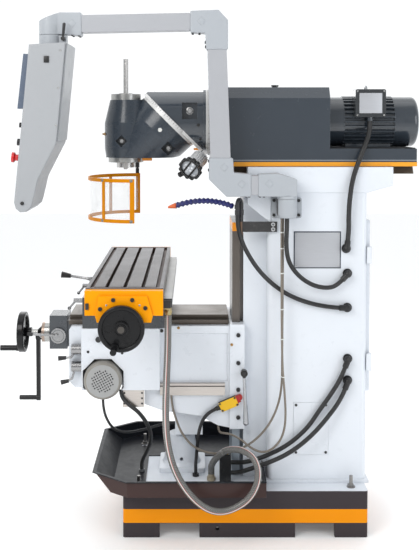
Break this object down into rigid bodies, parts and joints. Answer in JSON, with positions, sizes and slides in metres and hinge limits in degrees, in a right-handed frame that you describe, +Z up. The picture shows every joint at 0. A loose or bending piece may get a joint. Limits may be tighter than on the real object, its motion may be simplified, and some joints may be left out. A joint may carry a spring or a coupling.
{
  "type": "universal milling machine",
  "caption": "Knee-type universal milling machine with a ram-mounted swivelling head, travelling table, hand wheels, drip tray and a control pendant on a swing arm.",
  "frame": {"origin": "floor under the middle of the base casting, on the underside of its middle rib", "axes": "+Z up; -Y towards the operator in front of the knee; +X towards the operator's right, along the table"},
  "size_m": [1.472, 1.961, 2.3459],
  "materials": {
    "white_paint": "smooth gloss paint over filled castings",
    "base_paint": "dark grey-brown gloss paint with an orange band",
    "tray_paint": "dark slate gloss paint",
    "orange_paint": "orange gloss paint",
    "slate_paint": "glossy dark slate paint over filled castings",
    "pendant_paint": "light grey powder coat",
    "black_paint": "gloss black enamel",
    "steel": "turned and ground steel",
    "chrome": "bright plated, black knobs",
    "ground_iron": "ground and scraped cast iron",
    "switchgear": "moulded switchgear on a plated panel",
    "black_plastic": "moulded, satin",
    "coolant_plastic": "jointed blue plastic, orange nozzle, black valve",
    "conduit": "ribbed black conduit",
    "armour": "interlocked steel armour",
    "clear_hose": "clear reinforced hose with a braided layer",
    "display": "dark glazed screen in a grey bezel",
    "red_plastic": "moulded, glossy",
    "lamp_alloy": "turned ribbed alloy, black bezel",
    "shield": "clear polycarbonate sheet",
    "motor_grey": "grey gloss paint over die casting",
    "scale_alloy": "anodised extrusion",
    "yellow_plastic": "moulded, satin"
  },
  "bodies": {
    "column": {"base_casting": "base_paint", "levelling_screws": "steel", "column_casting": "white_paint", "side_access_cover": "white_paint", "electrical_panel": "switchgear", "cable_glands": "black_plastic", "pendant_bracket": "pendant_paint", "coolant_line": "coolant_plastic", "drip_tray": "tray_paint", "screw_pedestal": "white_paint", "tray_fittings": "black_plastic", "knee_conduits": "conduit", "scale_cables": "armour", "motor_conduit": "conduit", "pendant_conduit": "conduit", "coolant_feed_hose": "conduit", "drain_hose": "clear_hose"},
    "rear_door": {"rear_door": "white_paint"},
    "arm": {"arm_elbows": "pendant_paint", "arm_tubes": "pendant_paint"},
    "pendant": {"pendant_box": "pendant_paint", "pendant_display": "display"},
    "pendant_clamp_lever": {"pendant_clamp_lever": "black_paint"},
    "estop_button": {"estop_button": "red_plastic"},
    "start_button": {"start_button": "black_plastic"},
    "stop_button": {"stop_button": "black_plastic"},
    "ram": {"ram_casting": "slate_paint", "spindle_motor": "slate_paint"},
    "drive_shaft": {"drive_shaft": "steel"},
    "head_elbow": {"elbow_casting": "slate_paint"},
    "work_lamp": {"work_lamp": "lamp_alloy"},
    "milling_head": {"head_casting": "slate_paint", "guard_arm": "orange_paint"},
    "spindle": {"spindle": "steel"},
    "guard": {"guard_frame": "orange_paint", "guard_shield": "shield"},
    "knee": {"knee_casting": "white_paint", "knee_ways": "ground_iron", "feed_motor": "motor_grey", "feed_box": "slate_paint", "cross_scale": "scale_alloy", "limit_switch": "yellow_plastic", "elevating_screw": "steel", "limit_switch_cable": "conduit", "feed_motor_cable": "conduit", "feed_conduit": "conduit"},
    "feed_lever_upper": {"feed_lever_upper": "chrome"},
    "feed_lever_lower": {"feed_lever_lower": "chrome"},
    "feed_direction_lever": {"feed_direction_lever": "chrome"},
    "knee_clamp_lever": {"knee_clamp_lever": "chrome"},
    "cross_handwheel": {"cross_handwheel": "black_paint"},
    "elevating_crank": {"elevating_crank": "black_paint"},
    "saddle": {"saddle": "slate_paint"},
    "saddle_clamp_lever": {"saddle_clamp_lever": "chrome"},
    "table_clamp_lever": {"table_clamp_lever": "chrome"},
    "table_feed_lever": {"table_feed_lever": "chrome"},
    "table": {"table": "ground_iron", "table_end_brackets": "orange_paint", "table_scale": "scale_alloy"},
    "table_handwheel": {"table_handwheel": "black_paint"}
  },
  "joints": [
    {"name": "knee_slide", "type": "slide", "parent": "column", "child": "knee", "axis": [0, 0, 1], "range_m": [-0.015, 0.21], "deforming": ["scale_cables", "limit_switch_cable", "feed_conduit", "drain_hose"]},
    {"name": "saddle_slide", "type": "slide", "parent": "knee", "child": "saddle", "axis": [0, 1, 0], "range_m": [-0.05, 0.2], "deforming": ["drain_hose"]},
    {"name": "table_slide", "type": "slide", "parent": "saddle", "child": "table", "axis": [1, 0, 0], "range_m": [-0.365, 0.365], "deforming": ["drain_hose"]},
    {"name": "table_handwheel", "type": "hinge", "parent": "table", "child": "table_handwheel", "pos_m": [0.7, -0.523, 1.022], "axis": [1, 0, 0], "continuous": true},
    {"name": "cross_handwheel", "type": "hinge", "parent": "knee", "child": "cross_handwheel", "pos_m": [0, -1.045, 0.85], "axis": [0, 1, 0], "continuous": true},
    {"name": "elevating_crank", "type": "hinge", "parent": "knee", "child": "elevating_crank", "pos_m": [-0.12, -0.99, 0.807], "axis": [0, 1, 0], "range_deg": [-95, 235]},
    {"name": "ram_slide", "type": "slide", "parent": "column", "child": "ram", "axis": [0, -1, 0], "range_m": [-0.15, 0.15], "deforming": ["motor_conduit"]},
    {"name": "drive_shaft", "type": "hinge", "parent": "ram", "child": "drive_shaft", "pos_m": [0, 0.1, 1.854], "axis": [0, 1, 0], "continuous": true},
    {"name": "head_swivel", "type": "hinge", "parent": "ram", "child": "head_elbow", "pos_m": [0, -0.16, 1.854], "axis": [0, -1, 0], "range_deg": [-90, 90]},
    {"name": "head_tilt", "type": "hinge", "parent": "head_elbow", "child": "milling_head", "pos_m": [0, -0.355, 1.854], "axis": [0, 0.7071, 0.7071], "range_deg": [-60, 6]},
    {"name": "spindle", "type": "hinge", "parent": "milling_head", "child": "spindle", "pos_m": [0, -0.552, 1.8], "axis": [0, 0, 1], "continuous": true},
    {"name": "guard_swing", "type": "hinge", "parent": "milling_head", "child": "guard", "pos_m": [-0.24, -0.512, 1.605], "axis": [0, 0, 1], "range_deg": [-100, 0]},
    {"name": "lamp_tilt", "type": "hinge", "parent": "head_elbow", "child": "work_lamp", "pos_m": [0.09627, -0.19292, 1.69544], "axis": [-0.4648, -0.8854, 0], "range_deg": [-15, 5]},
    {"name": "arm_swivel", "type": "hinge", "parent": "column", "child": "arm", "pos_m": [0.29, 0.185, 1.55], "axis": [0, 0, 1], "range_deg": [0, 110]},
    {"name": "pendant_swivel", "type": "hinge", "parent": "arm", "child": "pendant", "pos_m": [0.29, -0.861, 2.27], "axis": [0, 0, 1], "range_deg": [-60, 8]},
    {"name": "pendant_clamp_lever", "type": "hinge", "parent": "pendant", "child": "pendant_clamp_lever", "pos_m": [0.345, -0.8, 2.217], "axis": [1, 0, 0], "range_deg": [-60, 60]},
    {"name": "estop_button", "type": "slide", "parent": "pendant", "child": "estop_button", "axis": [0, 0.9955, -0.0948], "range_m": [0, 0.004], "stiffness_N_per_m": 600},
    {"name": "start_button", "type": "slide", "parent": "pendant", "child": "start_button", "axis": [0, 0.9955, -0.0948], "range_m": [0, 0.004], "stiffness_N_per_m": 600},
    {"name": "stop_button", "type": "slide", "parent": "pendant", "child": "stop_button", "axis": [0, 0.9955, -0.0948], "range_m": [0, 0.004], "stiffness_N_per_m": 600},
    {"name": "rear_door", "type": "hinge", "parent": "column", "child": "rear_door", "pos_m": [0.192, 0.573, 1.01], "axis": [0, 0, -1], "range_deg": [0, 110]},
    {"name": "feed_lever_upper", "type": "hinge", "parent": "knee", "child": "feed_lever_upper", "pos_m": [0.225, -0.76, 0.822], "axis": [0, 1, 0], "range_deg": [-25, 25]},
    {"name": "feed_lever_lower", "type": "hinge", "parent": "knee", "child": "feed_lever_lower", "pos_m": [0.225, -0.76, 0.7426], "axis": [0, 1, 0], "range_deg": [-25, 11]},
    {"name": "feed_direction_lever", "type": "hinge", "parent": "knee", "child": "feed_direction_lever", "pos_m": [0.076, -0.8675, 0.8486], "axis": [1, 0, 0], "range_deg": [-30, 30]},
    {"name": "knee_clamp_lever", "type": "hinge", "parent": "knee", "child": "knee_clamp_lever", "pos_m": [0.24, -0.002, 0.715], "axis": [1, 0, 0], "range_deg": [-15, 22]},
    {"name": "saddle_clamp_lever", "type": "hinge", "parent": "saddle", "child": "saddle_clamp_lever", "pos_m": [0.2, -0.74, 1.04], "axis": [0, 1, 0], "range_deg": [-40, 40]},
    {"name": "table_clamp_lever", "type": "hinge", "parent": "saddle", "child": "table_clamp_lever", "pos_m": [-0.15, -0.74, 1.045], "axis": [0, 1, 0], "range_deg": [-40, 40]},
    {"name": "table_feed_lever", "type": "hinge", "parent": "saddle", "child": "table_feed_lever", "pos_m": [-0.228, -0.745, 1.065], "axis": [0, 0, 1], "range_deg": [-20, 20]}
  ],
  "couplings": [
    {"joint": "table_handwheel", "follows": "table_slide", "rad_per_m": 1047.2},
    {"joint": "cross_handwheel", "follows": "saddle_slide", "rad_per_m": 1047.2},
    {"joint": "spindle", "follows": "drive_shaft", "ratio": 1}
  ]
}
